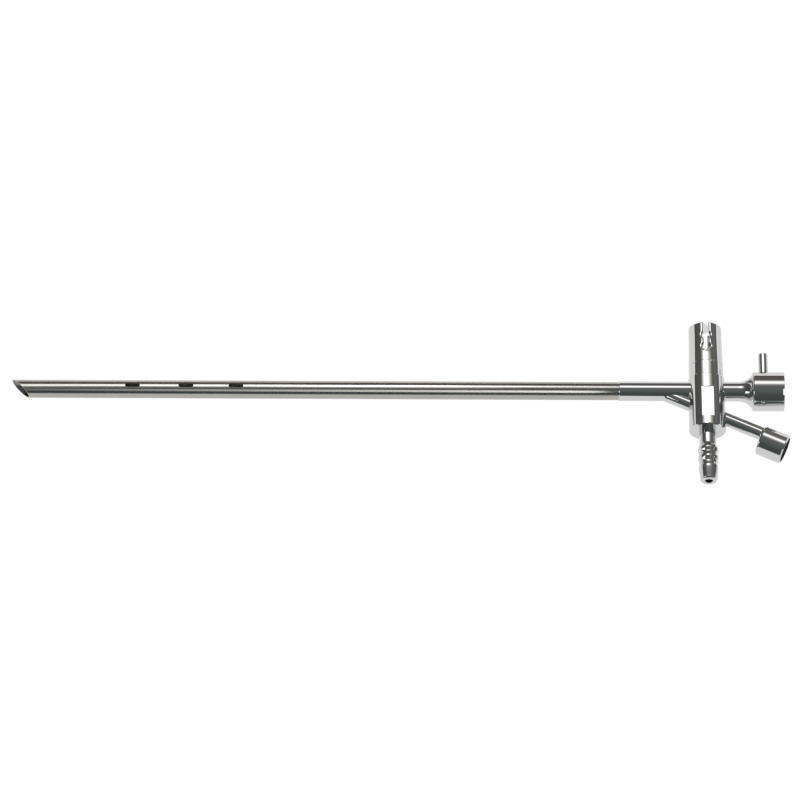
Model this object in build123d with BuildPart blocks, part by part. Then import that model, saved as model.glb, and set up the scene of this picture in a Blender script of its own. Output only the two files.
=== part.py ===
from build123d import *
from math import atan2, cos, radians, sin, sqrt
import os

os.makedirs("parts", exist_ok=True)

# Rigid bronchoscope tube, lying on a table. All sizes in millimetres.
# The instrument is drawn in its own flat plane: x runs along the main tube
# towards the proximal end, y runs up the port, and z faces the viewer.
# x = 0, y = 0 is where the tube's axis crosses the port's axis.

# Main tube
tube_radius = 4.0
tube_wall = 0.42
tip_x = -305.6
bevel_angle = 45.0
slot_places = (-252.4, -228.9, -206.9)
slot_length = 6.6
slot_width = 1.7

# Sleeve between the tube and the port body
sleeve_wall = 0.35
sleeve_start_x = -38.7
sleeve_chamfer = 0.28
tube_engagement = 8.5

# Port body, a cross cylinder with a closed bottom
port_bore_radius = 5.9
port_ledge = 0.6
port_ledge_y = 4.9
spigot_wall = 0.65
spigot_length = 3.6
port_wall = 1.04
body_step = 0.48
body_step_y = 5.4
body_bottom_y = -20.0
body_floor = 1.8
body_chamfer = 0.45
seam_y = 11.8
flat_width = 5.3
flat_top_y = -1.3
flat_bottom_y = -15.8

# Port sleeve with its double keyhole slot
port_taper = 0.3
port_taper_end_y = 16.4
rim_y = 31.15
rim_chamfer = 0.5
seam_groove = 0.12
keyhole_upper_y = 24.6
keyhole_lower_y = 18.8
keyhole_radius = 1.85
keyhole_neck = 2.1
keyhole_entry = 2.4
keyhole_bevel = 0.85

# Small pin that locks the port sleeve on the body
lock_pin_radius = 0.95
lock_pin_x = 2.5
lock_pin_recess = 0.05

# Hose barb
barb_bore_radius = 1.7
barb_spigot_wall = 1.1
barb_shank_radius = 3.75
barb_shank_length = 5.9
barb_length = 24.3
barb_nose_rounding = 1.2
# Crests and waists below the shank: drop from the shank's end, height over it
barb_profile = ((2.4, 0.9), (4.6, 0.5), (6.4, 0.8), (8.6, 0.3), (11.2, 0.55))

# Proximal neck and eyepiece socket
flare_start_x = 13.6
flare_height = 2.4
flare_steps = 2
socket_back_x = 19.9
socket_front_x = 33.95
socket_bore_radius = 7.1
socket_wall = 1.6
socket_bore_depth = 10.6
socket_chamfer = 0.4
notch_width = 3.0
notch_depth = 0.8
notch_tilt = 28.0

# Locating pin on the eyepiece socket
stud_radius = 2.08
stud_x = 25.3
stud_tip_y = 18.7
stud_seat_depth = 0.9
stud_rounding = 0.5
stud_fillet = 0.3

# Side channel and its cup
channel_angle = 24.7
channel_start_x = -21.7
channel_radius = 2.95
channel_wall = 0.6
cup_bore_radius = 5.55
cup_wall = 1.0
cup_back = 50.65
cup_length = 11.7
cup_offset = 3.0
cup_floor = 2.2
cup_chamfer = 0.45
cup_back_rounding = 0.8

# Radial room for braze between a piece and the hole it sits in
braze_gap = 0.03

# The instrument lies on the socket's edge and the tube's tip, so its plane
# is pitched. The origin is on the table, under the middle of its outline.
lumen_radius = tube_radius - tube_wall
sleeve_radius = tube_radius + sleeve_wall
neck_radius = sleeve_radius
cavity_radius = port_bore_radius - port_ledge
spigot_radius = port_bore_radius + spigot_wall
shoulder_radius = spigot_radius + braze_gap + port_wall
body_radius = shoulder_radius + body_step
rim_radius = shoulder_radius - port_taper
barb_spigot_radius = barb_bore_radius + barb_spigot_wall
socket_radius = socket_bore_radius + socket_wall
cup_radius = cup_bore_radius + cup_wall
tip_middle_x = tip_x + tube_radius / sin(radians(bevel_angle)) * cos(radians(bevel_angle))
pitch = atan2(socket_radius - tube_radius, socket_back_x + socket_chamfer - tip_middle_x)
cup_end_x = (channel_start_x + (cup_back + cup_length) * cos(radians(channel_angle))
             + (cup_radius - cup_offset) * sin(radians(channel_angle)))
middle_x = (tip_x + cup_end_x) / 2
middle_y = (body_bottom_y - barb_length + rim_y) / 2
axis_height = socket_radius - (socket_back_x + socket_chamfer) * sin(pitch)

scope = Plane(
    origin=(-middle_x, -middle_y, axis_height),
    x_dir=(cos(pitch), 0, sin(pitch)),
    z_dir=(-sin(pitch), 0, cos(pitch)),
)
tube_axis = Axis(scope.origin, scope.x_dir)
port_axis = Axis(scope.origin, scope.y_dir)
across_tube = Plane(scope.origin, x_dir=scope.y_dir, z_dir=scope.x_dir)
across_port = Plane(scope.origin, x_dir=scope.x_dir, z_dir=scope.y_dir)

# The side channel's own plane lies in the instrument's plane, turned down
channel_plane = Plane(
    origin=scope.from_local_coords((channel_start_x, 0, 0)),
    x_dir=(scope.x_dir * cos(radians(channel_angle)) - scope.y_dir * sin(radians(channel_angle))),
    z_dir=scope.z_dir,
)
channel_axis = Axis(channel_plane.origin, channel_plane.x_dir)
across_channel = Plane(channel_plane.origin, x_dir=scope.z_dir, z_dir=channel_plane.x_dir)
cup_axis = Axis(channel_plane.from_local_coords((0, -cup_offset, 0)), channel_plane.x_dir)

# A flush pin on the seam, through the spigot and the sleeve over it
lock_pin_depth = sqrt(shoulder_radius ** 2 - lock_pin_x ** 2)
lock_pin_plane = Plane(
    origin=scope.from_local_coords((lock_pin_x, seam_y, lock_pin_depth - lock_pin_recess)),
    x_dir=scope.y_dir,
    z_dir=(scope.x_dir * lock_pin_x + scope.z_dir * lock_pin_depth).normalized(),
)
lock_pin_length = shoulder_radius - port_bore_radius - lock_pin_recess


with BuildPart() as main_tube:
    tube_end_x = sleeve_start_x + tube_engagement
    with BuildSketch(scope):
        with Locations(((tip_x + tube_end_x) / 2, tube_radius - tube_wall / 2)):
            Rectangle(tube_end_x - tip_x, tube_wall)
    revolve(axis=tube_axis)
    # Everything distal of the bevel plane goes, with the tip on the port's side
    bevel_reach = 2 * tube_radius / sin(radians(bevel_angle)) * cos(radians(bevel_angle))
    with BuildSketch(scope):
        with BuildLine():
            Polyline(
                (tip_x - bevel_reach, 1.5 * tube_radius),
                (tip_x - bevel_reach / 4, 1.5 * tube_radius),
                (tip_x + 1.25 * bevel_reach, -1.5 * tube_radius),
                (tip_x - bevel_reach, -1.5 * tube_radius),
                close=True,
            )
        make_face()
    extrude(amount=2 * tube_radius, both=True, mode=Mode.SUBTRACT)
    # Ventilation slots go through both walls
    with BuildSketch(scope):
        with Locations(*[(place, 0) for place in slot_places]):
            SlotOverall(slot_length, slot_width)
    extrude(amount=2 * tube_radius, both=True, mode=Mode.SUBTRACT)
main_tube.part.label = "main_tube"


with BuildPart() as neck_sleeve:
    with BuildSketch(scope):
        with BuildLine():
            Polyline(
                (sleeve_start_x, tube_radius + braze_gap),
                (sleeve_start_x, sleeve_radius - sleeve_chamfer / 2),
                (sleeve_start_x + sleeve_chamfer, sleeve_radius),
                (0, sleeve_radius),
                (0, lumen_radius),
                (tube_end_x, lumen_radius),
                (tube_end_x, tube_radius + braze_gap),
                close=True,
            )
        make_face()
    revolve(axis=tube_axis)
    # The end is coped to the port's bore, and the side is open to the channel
    with BuildSketch(across_port):
        Circle(cavity_radius)
    extrude(amount=body_radius, both=True, mode=Mode.SUBTRACT)
    with BuildSketch(across_channel):
        Circle(channel_radius + braze_gap)
    extrude(amount=cup_back, mode=Mode.SUBTRACT)
neck_sleeve.part.label = "neck_sleeve"


with BuildPart() as port_body:
    spigot_top_y = seam_y + spigot_length
    with BuildSketch(scope):
        with BuildLine():
            Polyline(
                (0, body_bottom_y),
                (body_radius - body_chamfer, body_bottom_y),
                (body_radius, body_bottom_y + body_chamfer),
                (body_radius, body_step_y - body_chamfer / 2),
                (body_radius - body_chamfer / 2, body_step_y),
                (shoulder_radius, body_step_y),
                (shoulder_radius, seam_y),
                (spigot_radius, seam_y),
                (spigot_radius, spigot_top_y),
                (port_bore_radius, spigot_top_y),
                (port_bore_radius, port_ledge_y),
                (cavity_radius, port_ledge_y),
                (cavity_radius, body_bottom_y + body_floor),
                (0, body_bottom_y + body_floor),
                close=True,
            )
        make_face()
    revolve(axis=port_axis)
    # Crossing holes for the sleeve and the neck, the side channel and the barb
    with BuildSketch(across_tube):
        Circle(sleeve_radius + braze_gap)
    extrude(amount=-body_radius - 1, mode=Mode.SUBTRACT)
    with BuildSketch(across_tube):
        Circle(neck_radius + braze_gap)
    extrude(amount=body_radius + 1, mode=Mode.SUBTRACT)
    with BuildSketch(across_channel):
        Circle(channel_radius + braze_gap)
    extrude(amount=cup_back, mode=Mode.SUBTRACT)
    bottom = scope.from_local_coords((0, body_bottom_y, 0))
    with BuildSketch(Plane(bottom, x_dir=scope.x_dir, z_dir=scope.y_dir)):
        Circle(barb_spigot_radius + braze_gap)
    extrude(amount=body_floor, mode=Mode.SUBTRACT)
    # Bare marking flat that faces the viewer
    flat_depth_z = sqrt(body_radius ** 2 - (flat_width / 2) ** 2)
    with BuildSketch(scope.offset(flat_depth_z)):
        with Locations((0, (flat_top_y + flat_bottom_y) / 2)):
            Rectangle(flat_width, flat_top_y - flat_bottom_y)
    extrude(amount=body_radius - flat_depth_z + 0.5, mode=Mode.SUBTRACT)
    with BuildSketch(lock_pin_plane.offset(lock_pin_radius)):
        Circle(lock_pin_radius + braze_gap)
    extrude(amount=-shoulder_radius, mode=Mode.SUBTRACT)
port_body.part.label = "port_body"


with BuildPart() as port_sleeve:
    counterbore_radius = spigot_radius + braze_gap
    counterbore_top_y = spigot_top_y + braze_gap
    with BuildSketch(scope):
        with BuildLine():
            Polyline(
                (counterbore_radius, seam_y + braze_gap),
                (shoulder_radius - seam_groove, seam_y + braze_gap),
                (shoulder_radius, seam_y + seam_groove),
                (rim_radius, port_taper_end_y),
                (rim_radius, rim_y - rim_chamfer),
                (rim_radius - rim_chamfer, rim_y),
                (port_bore_radius, rim_y),
                (port_bore_radius, counterbore_top_y),
                (counterbore_radius, counterbore_top_y),
                close=True,
            )
        make_face()
    revolve(axis=port_axis)
    # Double keyhole, open at the rim, through the wall that faces the viewer
    with BuildSketch(scope):
        with Locations((0, keyhole_upper_y), (0, keyhole_lower_y)):
            Circle(keyhole_radius)
        with Locations((0, (keyhole_upper_y + keyhole_lower_y) / 2)):
            Rectangle(keyhole_neck, keyhole_upper_y - keyhole_lower_y)
        with Locations((0, (keyhole_upper_y + rim_y + 1) / 2)):
            Rectangle(keyhole_entry, rim_y + 1 - keyhole_upper_y)
    extrude(amount=shoulder_radius + 1, mode=Mode.SUBTRACT)
    # Its outer edge is broadly bevelled
    with BuildSketch(scope.offset(rim_radius + keyhole_bevel / 3)):
        with Locations((0, keyhole_upper_y), (0, keyhole_lower_y)):
            Circle(keyhole_radius + keyhole_bevel)
        with Locations((0, (keyhole_upper_y + keyhole_lower_y) / 2)):
            Rectangle(keyhole_neck + 2 * keyhole_bevel, keyhole_upper_y - keyhole_lower_y)
        with Locations((0, (keyhole_upper_y + rim_y + 1) / 2)):
            Rectangle(keyhole_entry + 2 * keyhole_bevel, rim_y + 1 - keyhole_upper_y)
    extrude(amount=-keyhole_bevel, taper=44, mode=Mode.SUBTRACT)
    with BuildSketch(lock_pin_plane.offset(lock_pin_radius)):
        Circle(lock_pin_radius + braze_gap)
    extrude(amount=-shoulder_radius, mode=Mode.SUBTRACT)
port_sleeve.part.label = "port_sleeve"


with BuildPart() as lock_pin:
    with BuildSketch(lock_pin_plane):
        Circle(lock_pin_radius)
    extrude(amount=-lock_pin_length + braze_gap)
lock_pin.part.label = "lock_pin"


with BuildPart() as hose_barb:
    shank_end_y = body_bottom_y - barb_shank_length
    barb_end_y = body_bottom_y - barb_length
    ridges = [(barb_shank_radius + height, shank_end_y - drop) for drop, height in barb_profile]
    with BuildSketch(scope):
        with BuildLine():
            Polyline(
                (barb_bore_radius, body_bottom_y + body_floor),
                (barb_spigot_radius, body_bottom_y + body_floor),
                (barb_spigot_radius, body_bottom_y),
                (barb_shank_radius, body_bottom_y),
                (barb_shank_radius, shank_end_y),
                *ridges,
                (barb_shank_radius, barb_end_y + barb_nose_rounding),
                (barb_shank_radius - barb_nose_rounding / 3, barb_end_y + barb_nose_rounding / 3),
                (barb_shank_radius - barb_nose_rounding, barb_end_y),
                (barb_bore_radius + barb_nose_rounding / 4, barb_end_y),
                (barb_bore_radius, barb_end_y + barb_nose_rounding / 4),
                close=True,
            )
        make_face()
    revolve(axis=port_axis)
hose_barb.part.label = "hose_barb"


with BuildPart() as proximal_neck:
    flare = [
        (
            flare_start_x + (socket_back_x - flare_start_x) * step / flare_steps,
            neck_radius + flare_height * (step / flare_steps) ** 2,
        )
        for step in range(1, flare_steps + 1)
    ]
    with BuildSketch(scope):
        with BuildLine():
            Polyline(
                (0, lumen_radius),
                (0, neck_radius),
                (flare_start_x, neck_radius),
                *flare,
                (socket_back_x, neck_radius),
                (socket_front_x - socket_bore_depth, neck_radius),
                (socket_front_x - socket_bore_depth, lumen_radius),
                close=True,
            )
        make_face()
    revolve(axis=tube_axis)
    # The front end is coped to the port's bore
    with BuildSketch(across_port):
        Circle(cavity_radius)
    extrude(amount=body_radius, both=True, mode=Mode.SUBTRACT)
proximal_neck.part.label = "proximal_neck"


with BuildPart() as eyepiece_socket:
    with BuildSketch(scope):
        with BuildLine():
            Polyline(
                (socket_back_x + braze_gap, neck_radius + braze_gap),
                (socket_back_x + braze_gap, socket_radius - socket_chamfer),
                (socket_back_x + socket_chamfer, socket_radius),
                (socket_front_x - socket_chamfer, socket_radius),
                (socket_front_x, socket_radius - socket_chamfer),
                (socket_front_x, socket_bore_radius),
                (socket_front_x - socket_bore_depth, socket_bore_radius),
                (socket_front_x - socket_bore_depth, neck_radius + braze_gap),
                close=True,
            )
        make_face()
    revolve(axis=tube_axis)
    # Small notch in the open rim, turned towards the viewer's side
    notch_plane = Plane(
        scope.origin,
        x_dir=scope.x_dir,
        z_dir=scope.z_dir * cos(radians(notch_tilt)) - scope.y_dir * sin(radians(notch_tilt)),
    )
    with BuildSketch(notch_plane.offset(socket_bore_radius / 2)):
        with Locations((socket_front_x, 0)):
            Rectangle(2 * notch_depth, notch_width)
    extrude(amount=socket_radius, mode=Mode.SUBTRACT)
    # Blind seat for the locating pin, on the port's side
    stud_base = scope.from_local_coords((stud_x, socket_radius - stud_seat_depth, 0))
    with BuildSketch(Plane(stud_base, x_dir=scope.x_dir, z_dir=scope.y_dir)):
        Circle(stud_radius + stud_fillet + braze_gap)
    extrude(amount=socket_radius, mode=Mode.SUBTRACT)
eyepiece_socket.part.label = "eyepiece_socket"


with BuildPart() as locating_pin:
    foot_y = socket_radius - stud_seat_depth + braze_gap
    with BuildSketch(scope):
        with BuildLine():
            # A foot with a small fillet of braze, then the plain stud
            Polyline(
                (stud_x, foot_y),
                (stud_x + stud_radius + stud_fillet, foot_y),
                (stud_x + stud_radius + stud_fillet, socket_radius),
                (stud_x + stud_radius, socket_radius + stud_fillet),
                (stud_x + stud_radius, stud_tip_y - stud_rounding),
                (stud_x + stud_radius - stud_rounding / 3, stud_tip_y - stud_rounding / 3),
                (stud_x + stud_radius - stud_rounding, stud_tip_y),
                (stud_x, stud_tip_y),
                close=True,
            )
        make_face()
    revolve(axis=Axis(stud_base, scope.y_dir))
locating_pin.part.label = "locating_pin"


with BuildPart() as side_channel:
    with BuildSketch(channel_plane):
        with Locations(((cup_back + cup_floor) / 2, channel_radius - channel_wall / 2)):
            Rectangle(cup_back + cup_floor, channel_wall)
    revolve(axis=channel_axis)
    # The front end opens into the main lumen, flush with its wall
    with BuildSketch(across_tube):
        Circle(lumen_radius)
    extrude(amount=3 * channel_start_x, both=True, mode=Mode.SUBTRACT)
side_channel.part.label = "side_channel"


with BuildPart() as side_socket:
    with BuildSketch(channel_plane):
        with BuildLine():
            # The cup's own axis runs beside the channel's, away from the port
            Polyline(
                (cup_back, -cup_offset),
                (cup_back, -cup_offset - cup_radius + cup_back_rounding),
                (cup_back + cup_back_rounding / 3, -cup_offset - cup_radius + cup_back_rounding / 3),
                (cup_back + cup_back_rounding, -cup_offset - cup_radius),
                (cup_back + cup_length - cup_chamfer, -cup_offset - cup_radius),
                (cup_back + cup_length, -cup_offset - cup_radius + cup_chamfer),
                (cup_back + cup_length, -cup_offset - cup_radius + cup_wall),
                (cup_back + cup_floor, -cup_offset - cup_radius + cup_wall),
                (cup_back + cup_floor, -cup_offset),
                close=True,
            )
        make_face()
    revolve(axis=cup_axis)
    with BuildSketch(across_channel):
        Circle(channel_radius + braze_gap)
    extrude(amount=cup_back + cup_floor, mode=Mode.SUBTRACT)
side_socket.part.label = "side_socket"


export_step(main_tube.part, "parts/main_tube.step")
export_step(neck_sleeve.part, "parts/neck_sleeve.step")
export_step(port_body.part, "parts/port_body.step")
export_step(port_sleeve.part, "parts/port_sleeve.step")
export_step(lock_pin.part, "parts/lock_pin.step")
export_step(hose_barb.part, "parts/hose_barb.step")
export_step(proximal_neck.part, "parts/proximal_neck.step")
export_step(eyepiece_socket.part, "parts/eyepiece_socket.step")
export_step(locating_pin.part, "parts/locating_pin.step")
export_step(side_channel.part, "parts/side_channel.step")
export_step(side_socket.part, "parts/side_socket.step")
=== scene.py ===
from math import asin, cos, pi, radians, sin

import bmesh
import bpy
from mathutils import Matrix, Vector


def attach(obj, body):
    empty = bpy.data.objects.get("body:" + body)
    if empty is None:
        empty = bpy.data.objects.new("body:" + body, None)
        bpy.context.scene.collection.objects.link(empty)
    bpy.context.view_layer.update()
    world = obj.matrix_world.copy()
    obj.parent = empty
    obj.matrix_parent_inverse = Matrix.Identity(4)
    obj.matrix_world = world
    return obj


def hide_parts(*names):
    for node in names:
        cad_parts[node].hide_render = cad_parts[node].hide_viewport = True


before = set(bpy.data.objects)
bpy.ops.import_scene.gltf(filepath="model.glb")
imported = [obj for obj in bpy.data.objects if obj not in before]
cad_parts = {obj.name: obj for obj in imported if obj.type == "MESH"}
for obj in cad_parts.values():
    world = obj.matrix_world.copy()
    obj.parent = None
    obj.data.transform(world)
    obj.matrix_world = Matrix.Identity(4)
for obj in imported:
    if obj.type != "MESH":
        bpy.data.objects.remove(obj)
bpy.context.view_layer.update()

scene = bpy.context.scene
MM = 0.001

# The instrument's own frame: x along the tube, y up the port, z to the viewer
PITCH = radians(0.8365)
ORIGIN = Vector((134.586, 6.575, 8.404)) * MM
AXES = Matrix((
    (cos(PITCH), 0, -sin(PITCH)),
    (0, 1, 0),
    (sin(PITCH), 0, cos(PITCH)),
))
SCOPE = Matrix.Translation(ORIGIN) @ AXES.to_4x4()
FROM_MM = SCOPE @ Matrix.Scale(MM, 4)

# Sizes in that frame, in millimetres
NECK_BORE = 3.58
SLEEVE = 4.35
CAVITY = 5.3
BODY = 8.1
BODY_BOTTOM = -20.0
PORT_SHOULDER = 7.62
CHANNEL = 2.95
CHANNEL_START = -21.7
CHANNEL_ANGLE = radians(24.7)
CUP_OFFSET = 3.0
CUP_BACK = 50.65

# The side channel's direction, and the direction across it in the same plane
CHANNEL_WAY = Vector((cos(CHANNEL_ANGLE), -sin(CHANNEL_ANGLE), 0))
SIDE_WAY = Vector((sin(CHANNEL_ANGLE), cos(CHANNEL_ANGLE), 0))


# ---------------------------------------------------------------- materials
NOISE = "ShaderNodeTexNoise"
MATHS = "ShaderNodeMath"
VECTOR_MATHS = "ShaderNodeVectorMath"
MAP_RANGE = "ShaderNodeMapRange"
# Inside reamed holes: a satin roughness, and a dark tint that is painted shade
BORE_ROUGHNESS = 0.42
BORE_SHADE_TINT = (0.24, 0.24, 0.23, 1)


def add(tree, kind, values=None, links=None):
    """A node with its settings, its plain input values and its linked inputs."""
    node = tree.nodes.new(kind)
    for key, value in (values or {}).items():
        if isinstance(key, int) or key in node.inputs:
            node.inputs[key].default_value = value
        else:
            setattr(node, key, value)
    for key, source in (links or {}).items():
        tree.links.new(source, node.inputs[key])
    return node


def blank_material(name):
    """A material whose tree holds only its output."""
    material = bpy.data.materials.new(name)
    material.use_nodes = True
    tree = material.node_tree
    tree.nodes.clear()
    return material, tree, add(tree, "ShaderNodeOutputMaterial")


def new_material(name):
    """A material with a Principled surface."""
    material, tree, output = blank_material(name)
    shader = add(tree, "ShaderNodeBsdfPrincipled")
    tree.links.new(shader.outputs["BSDF"], output.inputs["Surface"])
    return material, tree, shader


def inside_bore(tree, place, origin, along, radius):
    """1 within a reamed hole about an axis through origin, otherwise 0."""
    offset = add(tree, VECTOR_MATHS, {"operation": "SUBTRACT", 1: origin}, {0: place}).outputs[0]
    ahead = add(tree, VECTOR_MATHS, {"operation": "DOT_PRODUCT", 1: along}, {0: offset})
    shadow = add(tree, VECTOR_MATHS, {"operation": "SCALE", 0: along}, {"Scale": ahead.outputs["Value"]})
    aside = add(tree, VECTOR_MATHS, {"operation": "SUBTRACT"}, {0: offset, 1: shadow.outputs[0]})
    reach = add(tree, VECTOR_MATHS, {"operation": "LENGTH"}, {0: aside.outputs[0]})
    inside = add(tree, MATHS, {"operation": "LESS_THAN", 1: radius}, {0: reach.outputs["Value"]})
    return inside.outputs[0]


def metal(name, tint, shade, rough, rough_spread, grain, grain_depth, wave_depth, bores=()):
    """Polished metal: colour drift, cloudy gloss, fine directional marks and a slow ripple.

    grain stretches the fine marks: larger numbers are finer across that axis. bores are
    (origin, direction, radius) of reamed holes, which are left satin, their colour darkened as painted
    shade.
    """
    material, tree, shader = new_material(name)
    place = add(tree, "ShaderNodeTexCoord").outputs["Object"]
    drift = add(tree, NOISE, {"Scale": 90.0, "Detail": 3.0, "Roughness": 0.5}, {"Vector": place})
    base = add(
        tree, "ShaderNodeMix", {"data_type": "RGBA", 6: (*shade, 1), 7: (*tint, 1)},
        {0: drift.outputs["Fac"]},
    ).outputs[2]
    cloud = add(tree, NOISE, {"Scale": 260.0, "Detail": 4.0, "Roughness": 0.6}, {"Vector": place})
    roughness = add(
        tree, MAP_RANGE,
        {"From Min": 0.3, "From Max": 0.7, "To Min": rough, "To Max": rough + rough_spread},
        {"Value": cloud.outputs["Fac"]},
    ).outputs["Result"]
    # Each bore is made satin, and its colour is darkened as painted shade
    for bore in bores:
        mask = inside_bore(tree, place, *bore)
        satin = add(tree, MATHS, {"operation": "MULTIPLY", 1: BORE_ROUGHNESS}, {0: mask})
        roughness = add(
            tree, MATHS, {"operation": "MAXIMUM"}, {0: roughness, 1: satin.outputs[0]}
        ).outputs[0]
        base = add(
            tree, "ShaderNodeMix", {"data_type": "RGBA", 7: BORE_SHADE_TINT}, {0: mask, 6: base}
        ).outputs[2]
    stretched = add(tree, "ShaderNodeMapping", {"Scale": grain}, {"Vector": place})
    marks = add(
        tree, NOISE, {"Scale": 1.0, "Detail": 3.0, "Roughness": 0.6},
        {"Vector": stretched.outputs["Vector"]},
    )
    ripple = add(tree, NOISE, {"Scale": 140.0, "Detail": 1.0}, {"Vector": place})
    soft = add(
        tree, "ShaderNodeBump", {"Strength": 1.0, "Distance": wave_depth},
        {"Height": ripple.outputs["Fac"]},
    )
    fine = add(
        tree, "ShaderNodeBump", {"Strength": 1.0, "Distance": grain_depth},
        {"Height": marks.outputs["Fac"], "Normal": soft.outputs["Normal"]},
    )
    shader.inputs["Metallic"].default_value = 1.0
    tree.links.new(base, shader.inputs["Base Color"])
    tree.links.new(roughness, shader.inputs["Roughness"])
    tree.links.new(fine.outputs["Normal"], shader.inputs["Normal"])
    return material


def chromed(name, *bores):
    """Bright plate, with its reamed holes as metal takes them."""
    return metal(
        name, tint=(0.60, 0.60, 0.60), shade=(0.57, 0.57, 0.57), rough=0.03, rough_spread=0.03,
        grain=(900.0, 900.0, 900.0), grain_depth=3.0e-7, wave_depth=2.0e-6, bores=bores,
    )


TUBE_WAY = AXES @ Vector((1, 0, 0))
PORT_WAY = AXES @ Vector((0, 1, 0))
CUP_WAY = AXES @ CHANNEL_WAY
CUP_POINT = SCOPE @ (Vector((
    CHANNEL_START - CUP_OFFSET * sin(CHANNEL_ANGLE), -CUP_OFFSET * cos(CHANNEL_ANGLE), 0,
)) * MM)

steel = metal(
    "polished_steel_tube", tint=(0.42, 0.41, 0.38), shade=(0.37, 0.36, 0.335),
    rough=0.17, rough_spread=0.05, grain=(60.0, 2600.0, 2600.0), grain_depth=1.2e-6, wave_depth=2.0e-6,
    bores=((ORIGIN, TUBE_WAY, 3.7 * MM),),
)
chrome = chromed("chromed_brass")
chrome_barb = chromed("chromed_barb", (ORIGIN, PORT_WAY, 1.75 * MM))
chrome_socket = chromed("chromed_socket", (ORIGIN, TUBE_WAY, 7.2 * MM))
chrome_cup = chromed("chromed_cup", (CUP_POINT, CUP_WAY, 5.65 * MM))

FINISH = {
    "main_tube": steel,
    "neck_sleeve": chrome,
    "port_body": chrome,
    "port_sleeve": chrome,
    "lock_pin": chrome,
    "hose_barb": chrome_barb,
    "proximal_neck": chrome,
    "eyepiece_socket": chrome_socket,
    "locating_pin": chrome,
    "side_channel": chrome,
    "side_socket": chrome_cup,
}
for node_name, finish in FINISH.items():
    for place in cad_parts[node_name].material_slots:
        place.material = finish


# ------------------------------------------------------------- turned pieces
ROUND = 160
SHARP_EDGE = radians(32)


def axis_frame(origin, along, side):
    """A matrix from (side, other side, along) in millimetres to metres in the room."""
    along = Vector(along).normalized()
    side = Vector(side)
    side = (side - side.dot(along) * along).normalized()
    other = along.cross(side)
    turn = Matrix((side, other, along)).transposed().to_4x4()
    return FROM_MM @ Matrix.Translation(Vector(origin)) @ turn


TUBE = axis_frame((0, 0, 0), (1, 0, 0), (0, 1, 0))
PORT = axis_frame((0, 0, 0), (0, 1, 0), (1, 0, 0))
SIDE = axis_frame((CHANNEL_START, 0, 0), CHANNEL_WAY, SIDE_WAY)


def finished(name, points, faces, finish, node, replaces=False):
    """A smooth mesh piece on the body, with its sharp corners kept."""
    mesh = bpy.data.meshes.new(name)
    mesh.from_pydata([tuple(point) for point in points], [], faces)
    mesh.materials.append(finish)
    shape = bmesh.new()
    shape.from_mesh(mesh)
    loose = [vert for vert in shape.verts if not vert.link_faces]
    bmesh.ops.delete(shape, geom=loose, context="VERTS")
    bmesh.ops.recalc_face_normals(shape, faces=shape.faces)
    for face in shape.faces:
        face.smooth = True
    for edge in shape.edges:
        if len(edge.link_faces) == 2 and edge.calc_face_angle() > SHARP_EDGE:
            edge.smooth = False
    shape.to_mesh(mesh)
    shape.free()
    piece = bpy.data.objects.new(name, mesh)
    scene.collection.objects.link(piece)
    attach(piece, "root")
    if replaces:
        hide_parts(node)


def circle(place, radius, along):
    """Points round an axis; along is their distance, or gives it for a radius and a turn."""
    turns = [2 * pi * step / ROUND for step in range(ROUND)]
    return [
        place @ Vector((
            radius * cos(turn), radius * sin(turn),
            along(radius, turn) if callable(along) else along,
        ))
        for turn in turns
    ]


def ring_piece(name, rings, finish, node, replaces=False):
    """Joins circles of points, and the last one to the first."""
    faces = []
    for ring in range(len(rings)):
        low, high = ring * ROUND, (ring + 1) % len(rings) * ROUND
        for step in range(ROUND):
            ahead = (step + 1) % ROUND
            faces.append((low + step, low + ahead, high + ahead, high + step))
    points = [point for ring in rings for point in ring]
    finished(name, points, faces, finish, node, replaces)


def turned(name, profile, place, finish, node):
    """A closed profile of (radius, distance along) turned round an axis, in the node's place."""
    rings = [circle(place, radius, along) for radius, along in profile]
    ring_piece(name, rings, finish, node, replaces=True)


def eased(knots, steps=6):
    """Smooth points through (radius, distance) knots, by Catmull-Rom."""
    points = []
    last = len(knots) - 1
    for index in range(last):
        before = Vector(knots[max(index - 1, 0)])
        first, second = Vector(knots[index]), Vector(knots[index + 1])
        after = Vector(knots[min(index + 2, last)])
        for step in range(steps):
            t = step / steps
            points.append(tuple(0.5 * (
                2 * first + (second - before) * t
                + (2 * before - 5 * first + 4 * second - after) * t * t
                + (3 * first - before - 3 * second + after) * t ** 3
            )))
    points.append(tuple(knots[-1]))
    return points


def rounding(centre, radius, first, last, steps=6):
    """Points of an arc in the profile's plane; angles in degrees from the radius direction."""
    angles = [radians(first + (last - first) * step / steps) for step in range(steps + 1)]
    return [(centre[0] + radius * cos(angle), centre[1] + radius * sin(angle)) for angle in angles]


def port_wall(wall, way):
    """Where a point of a tube along x meets the port's round wall, on the side that way says."""
    return lambda radius, turn: way * (wall ** 2 - (radius * sin(turn)) ** 2) ** 0.5


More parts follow.
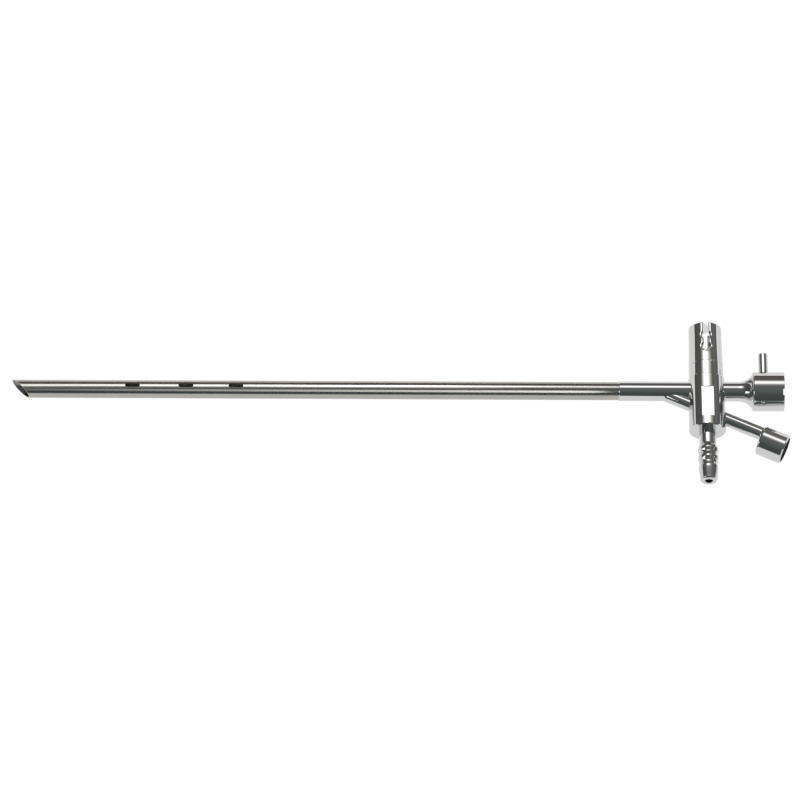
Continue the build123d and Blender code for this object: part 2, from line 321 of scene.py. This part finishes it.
# Hose barb: rounded ridges on a plain shank, a rounded nose and a spigot in the body's floor
SHANK_END = BODY_BOTTOM - 5.9
BARB_END = BODY_BOTTOM - 24.3
SPIGOT, SPIGOT_TOP = 2.8, BODY_BOTTOM + 1.8
BARB_BORE = 1.7
NOSE_OUTSIDE, NOSE_INSIDE = 0.9, 0.45
RIDGES = (
    (3.74, 0.5), (3.74, -0.5), (3.9, -1.3), (4.3, -2.2), (4.54, -3.1), (4.42, -4.0),
    (4.2, -4.7), (4.14, -5.2), (4.26, -5.9), (4.48, -6.8), (4.54, -7.6), (4.36, -8.5),
    (4.1, -9.3), (4.02, -10.0), (4.12, -10.8), (4.28, -11.8), (4.27, -12.8), (4.08, -14.6),
)
turned(
    "barb_turned",
    [(SPIGOT, SPIGOT_TOP), (SPIGOT, BODY_BOTTOM), (3.75, BODY_BOTTOM)]
    + eased([(radius, SHANK_END + along) for radius, along in RIDGES] + [(3.76, BARB_END + 1.1)])
    + rounding((2.85, BARB_END + NOSE_OUTSIDE), NOSE_OUTSIDE, 0, -90)
    + rounding((2.15, BARB_END + NOSE_INSIDE), NOSE_INSIDE, -90, -180)
    + [(BARB_BORE, SPIGOT_TOP)],
    PORT, chrome_barb, "hose_barb",
)

# Neck: coped to the port's cavity, flared with a smooth sweep into the socket's back
SOCKET_BACK = 19.93
SOCKET_FLOOR = 23.35
coped = port_wall(CAVITY, 1)
turned(
    "neck_turned",
    [(NECK_BORE, coped), (SLEEVE, coped), (SLEEVE, 9.0)]
    + eased([
        (SLEEVE, 13.0), (SLEEVE, 14.2), (4.47, 15.4), (4.9, 16.8), (5.7, 18.1), (6.75, 19.3),
        (7.6, SOCKET_BACK),
    ])
    + [(SLEEVE, SOCKET_BACK), (SLEEVE, SOCKET_FLOOR), (NECK_BORE, SOCKET_FLOOR)],
    TUBE, chrome, "proximal_neck",
)

# Socket: a bell with a rounded back, and a small notch in its open rim towards the viewer
SOCKET_FRONT = 33.95
SOCKET, SOCKET_BORE, SOCKET_SEAT = 8.69, 7.1, 4.38
RIM_CHAMFER = 0.2
NOTCH_TURN, NOTCH_HALF, NOTCH_DEPTH = radians(118.0), 1.5, 0.8


def socket_rim(radius, turn):
    """The rim's distance along: lower in the notch, and eased at its outer corner."""
    aside, ahead = radius * sin(turn - NOTCH_TURN), cos(turn - NOTCH_TURN)
    if abs(aside) < NOTCH_HALF and ahead > 0:
        return SOCKET_FRONT - NOTCH_DEPTH
    return SOCKET_FRONT - (RIM_CHAMFER if radius == SOCKET else 0.0)


turned(
    "socket_turned",
    [(SOCKET_SEAT, SOCKET_BACK), (7.5, SOCKET_BACK)]
    + rounding((7.69, 20.93), 1.0, -90, 0, 10)
    + [
        (SOCKET, 22.0), (SOCKET, 33.0), (SOCKET, socket_rim), (8.5, socket_rim),
        (SOCKET_BORE, socket_rim), (SOCKET_BORE, 33.0), (SOCKET_BORE, SOCKET_FLOOR),
        (SOCKET_SEAT, SOCKET_FLOOR),
    ],
    TUBE, chrome_socket, "eyepiece_socket",
)

# Lock pin: its flush end is slightly domed, and its edge lies a little below the wall
PIN_X, PIN_Y = 2.5, 11.8
PIN_Z = (PORT_SHOULDER ** 2 - PIN_X ** 2) ** 0.5
PIN, PIN_FOOT, PIN_EDGE, PIN_DOME = 0.93, -1.3, -0.16, 0.26
PIN_CENTRE = 0.01
turned(
    "lock_pin_head",
    [(PIN_CENTRE, PIN_FOOT), (PIN, PIN_FOOT), (PIN, PIN_EDGE)] + [
        (PIN * cos(radians(angle)), PIN_EDGE + PIN_DOME * sin(radians(angle)))
        for angle in range(10, 90, 10)
    ] + [(PIN_CENTRE, PIN_EDGE + PIN_DOME)],
    axis_frame((PIN_X, PIN_Y, PIN_Z), (PIN_X, 0, PIN_Z), (0, 1, 0)), chrome, "lock_pin",
)


# ------------------------------------------------------------- port's sleeve
BORE, RECESS, RIM = 5.9, 6.58, 7.32
SEAM_Y, RECESS_TOP, TAPER_END, RIM_Y = 11.83, 15.43, 26.0, 31.15
SEAM_CHAMFER, LIP = 0.12, 0.5

# The double keyhole: (height, radius) of its round ends, (low, high, half width) of its slots
LOWER_END, UPPER_END = (19.1, 1.7), (24.85, 1.7)
LOWER_SLOT, UPPER_SLOT = (19.0, 25.0, 0.98), (24.0, 40.0, 1.12)
BLEND = 0.5
BEVEL, BEVEL_DEPTH, BEVEL_SLOPE = 1.0, 0.8, 0.12

# The wall that faces the viewer has a fine grid of cells, the rest of the circle wide ones
CELL = 0.07
GRID_FOOT = 16.4
GRID_HALF = 3.43
BACK_COLUMNS = 60


def sleeve_radius(y):
    """The sleeve's outer radius: a chamfered seam, a slow taper and a rounded rim."""
    foot = SEAM_Y + SEAM_CHAMFER
    if y < foot:
        return PORT_SHOULDER - SEAM_CHAMFER + (y - SEAM_Y)
    if y < TAPER_END:
        return PORT_SHOULDER + (RIM - PORT_SHOULDER) * (y - foot) / (TAPER_END - foot)
    if y > RIM_Y - LIP:
        return RIM - LIP + max(LIP * LIP - (y - RIM_Y + LIP) ** 2, 0) ** 0.5
    return RIM


def keyhole(x, y):
    """Signed distance to the keyhole's edge, positive in the metal."""
    def round_end(centre, radius):
        return (x * x + (y - centre) ** 2) ** 0.5 - radius

    def slot(low, high, half):
        aside = abs(x) - half
        away = max(low - y, y - high)
        if aside > 0 and away > 0:
            return (aside * aside + away * away) ** 0.5
        return max(aside, away)

    def joined(first, second):
        share = max(BLEND - abs(first - second), 0) / BLEND
        return min(first, second) - share * share * BLEND / 4

    upper = joined(round_end(*UPPER_END), slot(*UPPER_SLOT))
    return joined(joined(upper, slot(*LOWER_SLOT)), round_end(*LOWER_END))


def on_edge(x, y):
    """The nearest point on the keyhole's edge."""
    nudge = 0.01
    for _ in range(4):
        here = keyhole(x, y)
        slope_x = (keyhole(x + nudge, y) - keyhole(x - nudge, y)) / (2 * nudge)
        slope_y = (keyhole(x, y + nudge) - keyhole(x, y - nudge)) / (2 * nudge)
        steep = slope_x * slope_x + slope_y * slope_y
        if steep < 1e-6:
            break
        x -= here * slope_x / steep
        y -= here * slope_y / steep
    return x, min(y, RIM_Y)


def cell_corners(row, column):
    """The four grid points of a cell."""
    return [(row, column), (row, column + 1), (row + 1, column), (row + 1, column + 1)]


def notched_sleeve(name):
    """The port's sleeve with its bevelled double keyhole, cut along z towards the viewer."""
    front = [-GRID_HALF + CELL * index for index in range(round(2 * GRID_HALF / CELL) + 1)]
    count = len(front) + BACK_COLUMNS
    lip_foot = RIM_Y - LIP
    spans = round((lip_foot - GRID_FOOT) / CELL)
    levels = [SEAM_Y, SEAM_Y + SEAM_CHAMFER / 2, SEAM_Y + SEAM_CHAMFER]
    levels += [12.5, 13.2, 14.0, 14.8, RECESS_TOP, 15.9]
    levels += [GRID_FOOT + (lip_foot - GRID_FOOT) * index / spans for index in range(spans + 1)]
    levels += [lip_foot + LIP * sin(radians(angle)) for angle in (15, 30, 45, 60, 75, 90)]
    rows = len(levels)
    bore_row = levels.index(RECESS_TOP)

    # Cells within the keyhole are left out, and the corners round them moved onto its edge
    flat = {
        (row, column): (x, y, keyhole(x, y))
        for row, y in enumerate(levels) for column, x in enumerate(front)
    }
    closed = {
        (row, column): column >= len(front) - 1
        or min(flat[corner][2] for corner in cell_corners(row, column)) >= -CELL / 2
        for row in range(rows - 1) for column in range(count)
    }
    edge_corners = {
        (row, column)
        for cell, whole in closed.items() if not whole
        for row, column in cell_corners(*cell)
        if any(closed.get((row + up, column + side)) for up in (-1, 0) for side in (-1, 0))
    }
    for corner in edge_corners:
        x, y, _ = flat[corner]
        flat[corner] = (*on_edge(x, y), 0.0)

    def point(row, column, inside):
        x, y, distance = flat.get((row, column), (None, levels[row], None))
        radius = BORE if inside else sleeve_radius(y)
        if x is None:
            start = asin(GRID_HALF / radius)
            turn = start + (2 * pi - 2 * start) * (column - len(front) + 1) / (BACK_COLUMNS + 1)
            return Vector((radius * sin(turn), y, radius * cos(turn)))
        z = (radius * radius - x * x) ** 0.5
        if not inside and distance < BEVEL:
            share = min(1 - distance / BEVEL, 1)
            z -= BEVEL_DEPTH * BEVEL * (1 - (1 - share * share) ** 0.5) + BEVEL_SLOPE * BEVEL * share
        return Vector((x, y, z))

    # Outer wall, bore, then the two circles of the counterbore over the body's spigot
    points = [point(row, column, False) for row in range(rows) for column in range(count)]
    points += [point(row, column, True) for row in range(bore_row, rows) for column in range(count)]
    for y in (RECESS_TOP, SEAM_Y):
        for column in range(count):
            away = point(0, column, True)
            points.append(Vector((away.x / BORE * RECESS, y, away.z / BORE * RECESS)))

    def outer(row, column):
        return row * count + column

    def inner(row, column):
        return (rows + row - bore_row) * count + column

    faces = []
    for row, column in closed:
        ahead = (column + 1) % count
        if closed[row, column]:
            faces.append([
                outer(row, column), outer(row, ahead), outer(row + 1, ahead), outer(row + 1, column),
            ])
            if row >= bore_row:
                faces.append([
                    inner(row, column), inner(row + 1, column), inner(row + 1, ahead), inner(row, ahead),
                ])
            continue
        for first, second, neighbour in (
            ((row, column), (row, ahead), (row - 1, column)),
            ((row + 1, column), (row + 1, ahead), (row + 1, column)),
            ((row, column), (row + 1, column), (row, column - 1)),
            ((row, ahead), (row + 1, ahead), (row, column + 1)),
        ):
            if closed.get(neighbour):
                faces.append([outer(*first), outer(*second), inner(*second), inner(*first)])

    # The open rim, and the foot from the bore through the counterbore to the seam
    top = rows - 1
    foot = (inner(bore_row, 0), inner(rows, 0), inner(rows + 1, 0), outer(0, 0))
    for column in range(count):
        ahead = (column + 1) % count
        if closed[top - 1, column]:
            faces.append([
                outer(top, column), outer(top, ahead), inner(top, ahead), inner(top, column),
            ])
        for low, high in zip(foot, foot[1:]):
            faces.append([low + column, low + ahead, high + ahead, high + column])
    finished(name, [FROM_MM @ spot for spot in points], faces, chrome, "port_sleeve", replaces=True)


notched_sleeve("sleeve_turned")


# --------------------------------------------------------------------- braze
BRAZE_STEPS = 8
BRAZE_ROOT = (0.02, 0.05)


def braze(name, place, way, radius, width, hit, node):
    """A concave fillet of braze round a tube where it meets a surface.

    hit gives the distance along the tube at which a point at a given radius and turn meets the surface.
    """
    bends = [pi / 2 * step / BRAZE_STEPS for step in range(BRAZE_STEPS + 1)]
    profile = [(radius + width * (1 - sin(bend)), width * (1 - cos(bend))) for bend in bends]
    profile.append((radius - BRAZE_ROOT[0], -BRAZE_ROOT[1]))
    rings = [
        circle(place, reach, lambda at, turn: hit(at, turn) + way * rise)
        for reach, rise in profile
    ]
    ring_piece(name, rings, chrome, node)


def on_cylinder(axis, radius):
    """Where a point of the side channel leaves a cylinder about axis ("x" or "y")."""
    def hit(reach, turn):
        start = Vector((CHANNEL_START, 0, 0)) + SIDE_WAY * reach * cos(turn)
        start += Vector((0, 0, 1)) * reach * sin(turn)
        a, b = (start.y, CHANNEL_WAY.y) if axis == "x" else (start.x, CHANNEL_WAY.x)
        root = max(radius ** 2 - start.z * start.z, 0.0) ** 0.5
        return max((root - a) / b, (-root - a) / b)
    return hit


braze("braze_neck", TUBE, 1, SLEEVE, 0.55, port_wall(BODY, 1), "port_body")
braze("braze_sleeve", TUBE, -1, SLEEVE, 0.45, port_wall(BODY, -1), "port_body")
braze("braze_channel", SIDE, 1, CHANNEL, 0.6, on_cylinder("y", BODY), "port_body")
braze("braze_cup", SIDE, -1, CHANNEL, 1.1, lambda reach, turn: CUP_BACK, "side_channel")
braze("braze_crotch", SIDE, 1, CHANNEL, 0.3, on_cylinder("x", SLEEVE), "neck_sleeve")


# -------------------------------------------------------------- floor, lights
FLOOR_REACH = 3.0
FLOOR_DROP = 0.02 * MM


def sheet(name, centre, side, rise, half_side, half_rise, material):
    """A flat stage piece about centre."""
    centre, side, rise = Vector(centre), Vector(side).normalized(), Vector(rise).normalized()
    corners = [
        tuple(centre + side * half_side * x + rise * half_rise * y)
        for x, y in ((-1, -1), (1, -1), (1, 1), (-1, 1))
    ]
    mesh = bpy.data.meshes.new(name)
    mesh.from_pydata(corners, [], [(0, 1, 2, 3)])
    mesh.materials.append(material)
    piece = bpy.data.objects.new(name, mesh)
    scene.collection.objects.link(piece)
    return piece


def colour_ramp(tree, value, stops):
    """A ramp over value; stops are (position, colour) in order."""
    node = add(tree, "ShaderNodeValToRGB", links={"Fac": value})
    band = node.color_ramp.elements
    for mark, (position, colour) in zip(band, (stops[0], stops[-1])):
        mark.position, mark.color = position, (*colour, 1)
    for position, colour in stops[1:-1]:
        band.new(position).color = (*colour, 1)
    return node.outputs["Color"]


def grey_ramp(tree, value, low, high, stops):
    """A ramp over value from low to high; stops are (position, level) in order."""
    level = add(tree, MAP_RANGE, {"From Min": low, "From Max": high}, {"Value": value})
    return colour_ramp(tree, level.outputs["Result"], [
        ((position - low) / (high - low), (grey, grey, grey)) for position, grey in stops
    ])


def panel(name, plane, across, up, strength, core=None):
    """A diffuser on a sheet's plane, which glows by place and is seen in reflections only.

    across and up are (low, high, stops) in room x and y. core is (x, y, radius, level) of the
    lamp that shines through it.
    """
    material, tree, output = blank_material(name)
    spot = add(tree, "ShaderNodeTexCoord").outputs["Object"]
    parts = add(tree, "ShaderNodeSeparateXYZ", links={"Vector": spot})
    level = add(tree, MATHS, {"operation": "MULTIPLY"}, {
        0: grey_ramp(tree, parts.outputs["X"], *across),
        1: grey_ramp(tree, parts.outputs["Y"], *up),
    }).outputs[0]
    if core:
        x, y, radius, peak = core
        away = add(tree, VECTOR_MATHS, {"operation": "DISTANCE", 1: (x, y, plane[0][2])}, {0: spot})
        lamp = add(
            tree, MAP_RANGE, {"From Min": 0.0, "From Max": radius, "To Min": peak, "To Max": 0.0},
            {"Value": away.outputs["Value"]},
        )
        level = add(
            tree, MATHS, {"operation": "ADD"}, {0: level, 1: lamp.outputs["Result"]}
        ).outputs[0]
    scaled = add(tree, MATHS, {"operation": "MULTIPLY", 1: strength}, {0: level})
    light = add(tree, "ShaderNodeEmission", links={"Strength": scaled.outputs[0]})
    clear = add(tree, "ShaderNodeBsdfTransparent")
    both = add(tree, "ShaderNodeAddShader", links={0: light.outputs[0], 1: clear.outputs[0]})
    tree.links.new(both.outputs[0], output.inputs["Surface"])
    holder = sheet(name, *plane, material)
    holder.visible_camera = False
    holder.visible_diffuse = False
    holder.visible_shadow = False


# The floor glows nearly white, with a painted contact shadow in grey where the port's rim touches it
floor_material, floor_tree, floor_shader = new_material("pale_floor")
floor_shader.inputs["Base Color"].default_value = (0.12, 0.12, 0.12, 1)
floor_shader.inputs["Roughness"].default_value = 0.9
floor_shader.inputs["Emission Color"].default_value = (1, 1, 1, 1)
rim_spot = SCOPE @ (Vector((0.0, 36.2, 0.0)) * MM)
from_rim = add(
    floor_tree, VECTOR_MATHS, {"operation": "DISTANCE", 1: (rim_spot.x, rim_spot.y, -FLOOR_DROP)},
    {0: add(floor_tree, "ShaderNodeTexCoord").outputs["Object"]},
)
# Painted contact shadow: the floor's glow drops to grey near the port's rim
painted_contact_shadow = add(floor_tree, MAP_RANGE, {
    "From Min": 2.0 * MM, "From Max": 3.4 * MM, "To Min": 0.62, "To Max": 0.97,
    "interpolation_type": "SMOOTHSTEP",
}, {"Value": from_rim.outputs["Value"]})
floor_tree.links.new(painted_contact_shadow.outputs["Result"], floor_shader.inputs["Emission Strength"])
sheet(
    "studio_floor", (0, 0, -FLOOR_DROP), (1, 0, 0), (0, 1, 0), FLOOR_REACH, FLOOR_REACH,
    floor_material,
)

EVEN = (-2.0, 2.0, ((-1.9, 1.0), (1.9, 1.0)))
panel(
    "key_softbox", ((0.10, 0.58, 1.0), (1, 0, 0), (0, 1, 0), 0.75, 0.50),
    (-0.65, 0.85, (
        (-0.62, 0.0), (-0.49, 0.10), (-0.33, 0.28), (-0.20, 0.55), (-0.07, 0.96), (0.06, 0.96),
        (0.17, 0.70), (0.29, 0.52), (0.41, 0.34), (0.54, 0.15), (0.68, 0.05), (0.82, 0.0),
    )),
    (0.08, 1.08, (
        (0.10, 0.0), (0.21, 0.06), (0.31, 0.22), (0.42, 0.72), (0.53, 1.0), (0.66, 0.78),
        (0.82, 0.30), (0.95, 0.07), (1.06, 0.0),
    )),
    2.9, core=(-0.02, 0.53, 0.13, 2.0),
)
panel(
    "tube_strip", ((-0.05, -0.032, 0.0595), (1, 0, 0), (0, 0.0105, 0.006), 0.14, 0.0136),
    (-0.19, 0.09, ((-0.19, 0.04), (-0.17, 0.1), (-0.088, 0.32), (0.02, 0.68), (0.085, 1.0))),
    EVEN, 2.3,
)
panel(
    "tube_glow", ((-0.065, 0.0132, 0.0304), (1, 0, 0), (0, 1, 0), 0.125, 0.0104),
    (-0.19, 0.06, ((-0.185, 1.0), (0.02, 1.0), (0.058, 0.0))),
    (0.0028, 0.0236, (
        (0.0033, 0.06), (0.0066, 0.22), (0.0099, 0.5), (0.0132, 0.9), (0.0176, 1.0), (0.0203, 0.6),
        (0.0231, 0.0),
    )),
    1.7,
)
panel("kicker", ((1.0, 0.02, 0.46), (0, 1, 0), (-0.45, 0, 0.88), 0.03, 0.03), EVEN, EVEN, 7.0)

# Light for what scatters on the floor and the metal
fill = bpy.data.lights.new("fill", "AREA")
fill.size = 0.9
fill.energy = 3.0
filler = bpy.data.objects.new("fill", fill)
filler.matrix_world = Matrix.Translation((0.02, 0.60, 1.05))
filler.visible_camera = False
filler.visible_glossy = False
scene.collection.objects.link(filler)

# The room: white low down, grey above, cool towards the viewer, warmer and lighter behind,
# with an olive glow right of the softbox; the backdrop itself is white
world = bpy.data.worlds.new("studio")
world.use_nodes = True
scene.world = world
sky = world.node_tree
sky.nodes.clear()
heading = add(sky, "ShaderNodeSeparateXYZ", links={
    "Vector": add(sky, "ShaderNodeTexCoord").outputs["Generated"],
})
by_height = colour_ramp(sky, heading.outputs["Z"], (
    (0.09, (1, 1, 1)), (0.13, (0.085, 0.085, 0.085)), (0.7, (0.105, 0.105, 0.105)),
    (1.0, (0.175, 0.175, 0.175)),
))
depth = add(sky, MAP_RANGE, {"From Min": -0.9, "From Max": 0.9}, {"Value": heading.outputs["Y"]})
by_depth = colour_ramp(sky, depth.outputs["Result"], (
    (0.0, (0.86, 1.0, 0.98)), (0.55, (0.95, 1.0, 0.97)), (1.0, (1.55, 1.45, 1.42)),
))
by_side = colour_ramp(sky, heading.outputs["X"], (
    (0.15, (0, 0, 0)), (0.36, (0.13, 0.13, 0.085)), (0.58, (0.03, 0.03, 0.025)),
    (0.74, (0.09, 0.09, 0.095)), (0.88, (0.02, 0.02, 0.035)), (1.0, (0.03, 0.03, 0.04)),
))
tinted = add(
    sky, "ShaderNodeMix", {"data_type": "RGBA", "blend_type": "MULTIPLY", 0: 1.0},
    {6: by_height, 7: by_depth},
)
lit = add(
    sky, "ShaderNodeMix", {"data_type": "RGBA", "blend_type": "ADD", 0: 1.0},
    {6: tinted.outputs[2], 7: by_side},
)
room = add(sky, "ShaderNodeBackground", {"Strength": 1.0}, {"Color": lit.outputs[2]})
backdrop = add(sky, "ShaderNodeBackground", {"Color": (1, 1, 1, 1), "Strength": 1.0})
choice = add(sky, "ShaderNodeMixShader", links={
    0: add(sky, "ShaderNodeLightPath").outputs["Is Camera Ray"],
    1: room.outputs[0],
    2: backdrop.outputs[0],
})
add(sky, "ShaderNodeOutputWorld", links={"Surface": choice.outputs[0]})

# -------------------------------------------------------------------- camera
ELEVATION = radians(62.0)
AZIMUTH = radians(-1.72)
ROLL = radians(2.153)
DISTANCE = 2.279
TARGET = Vector((-0.142, 5.085, 0.145)) * MM
SENSOR = 36.0
PICTURE_WIDTH = 800
PIXEL = 0.4409 * MM

towards = Vector((sin(AZIMUTH) * cos(ELEVATION), -cos(AZIMUTH) * cos(ELEVATION), sin(ELEVATION)))
right = Vector((0, 0, 1)).cross(towards).normalized()
up = towards.cross(right)
image_right = cos(ROLL) * right + sin(ROLL) * up
image_up = -sin(ROLL) * right + cos(ROLL) * up

lens = bpy.data.cameras.new("camera")
lens.sensor_width = SENSOR
lens.lens = SENSOR * DISTANCE / PIXEL / PICTURE_WIDTH
lens.clip_start = 0.05
lens.clip_end = 20.0
camera = bpy.data.objects.new("camera", lens)
camera.matrix_world = (
    Matrix.Translation(TARGET + towards * DISTANCE)
    @ Matrix((image_right, image_up, towards)).transposed().to_4x4()
)
scene.collection.objects.link(camera)
scene.camera = camera
scene.view_settings.view_transform = "Standard"
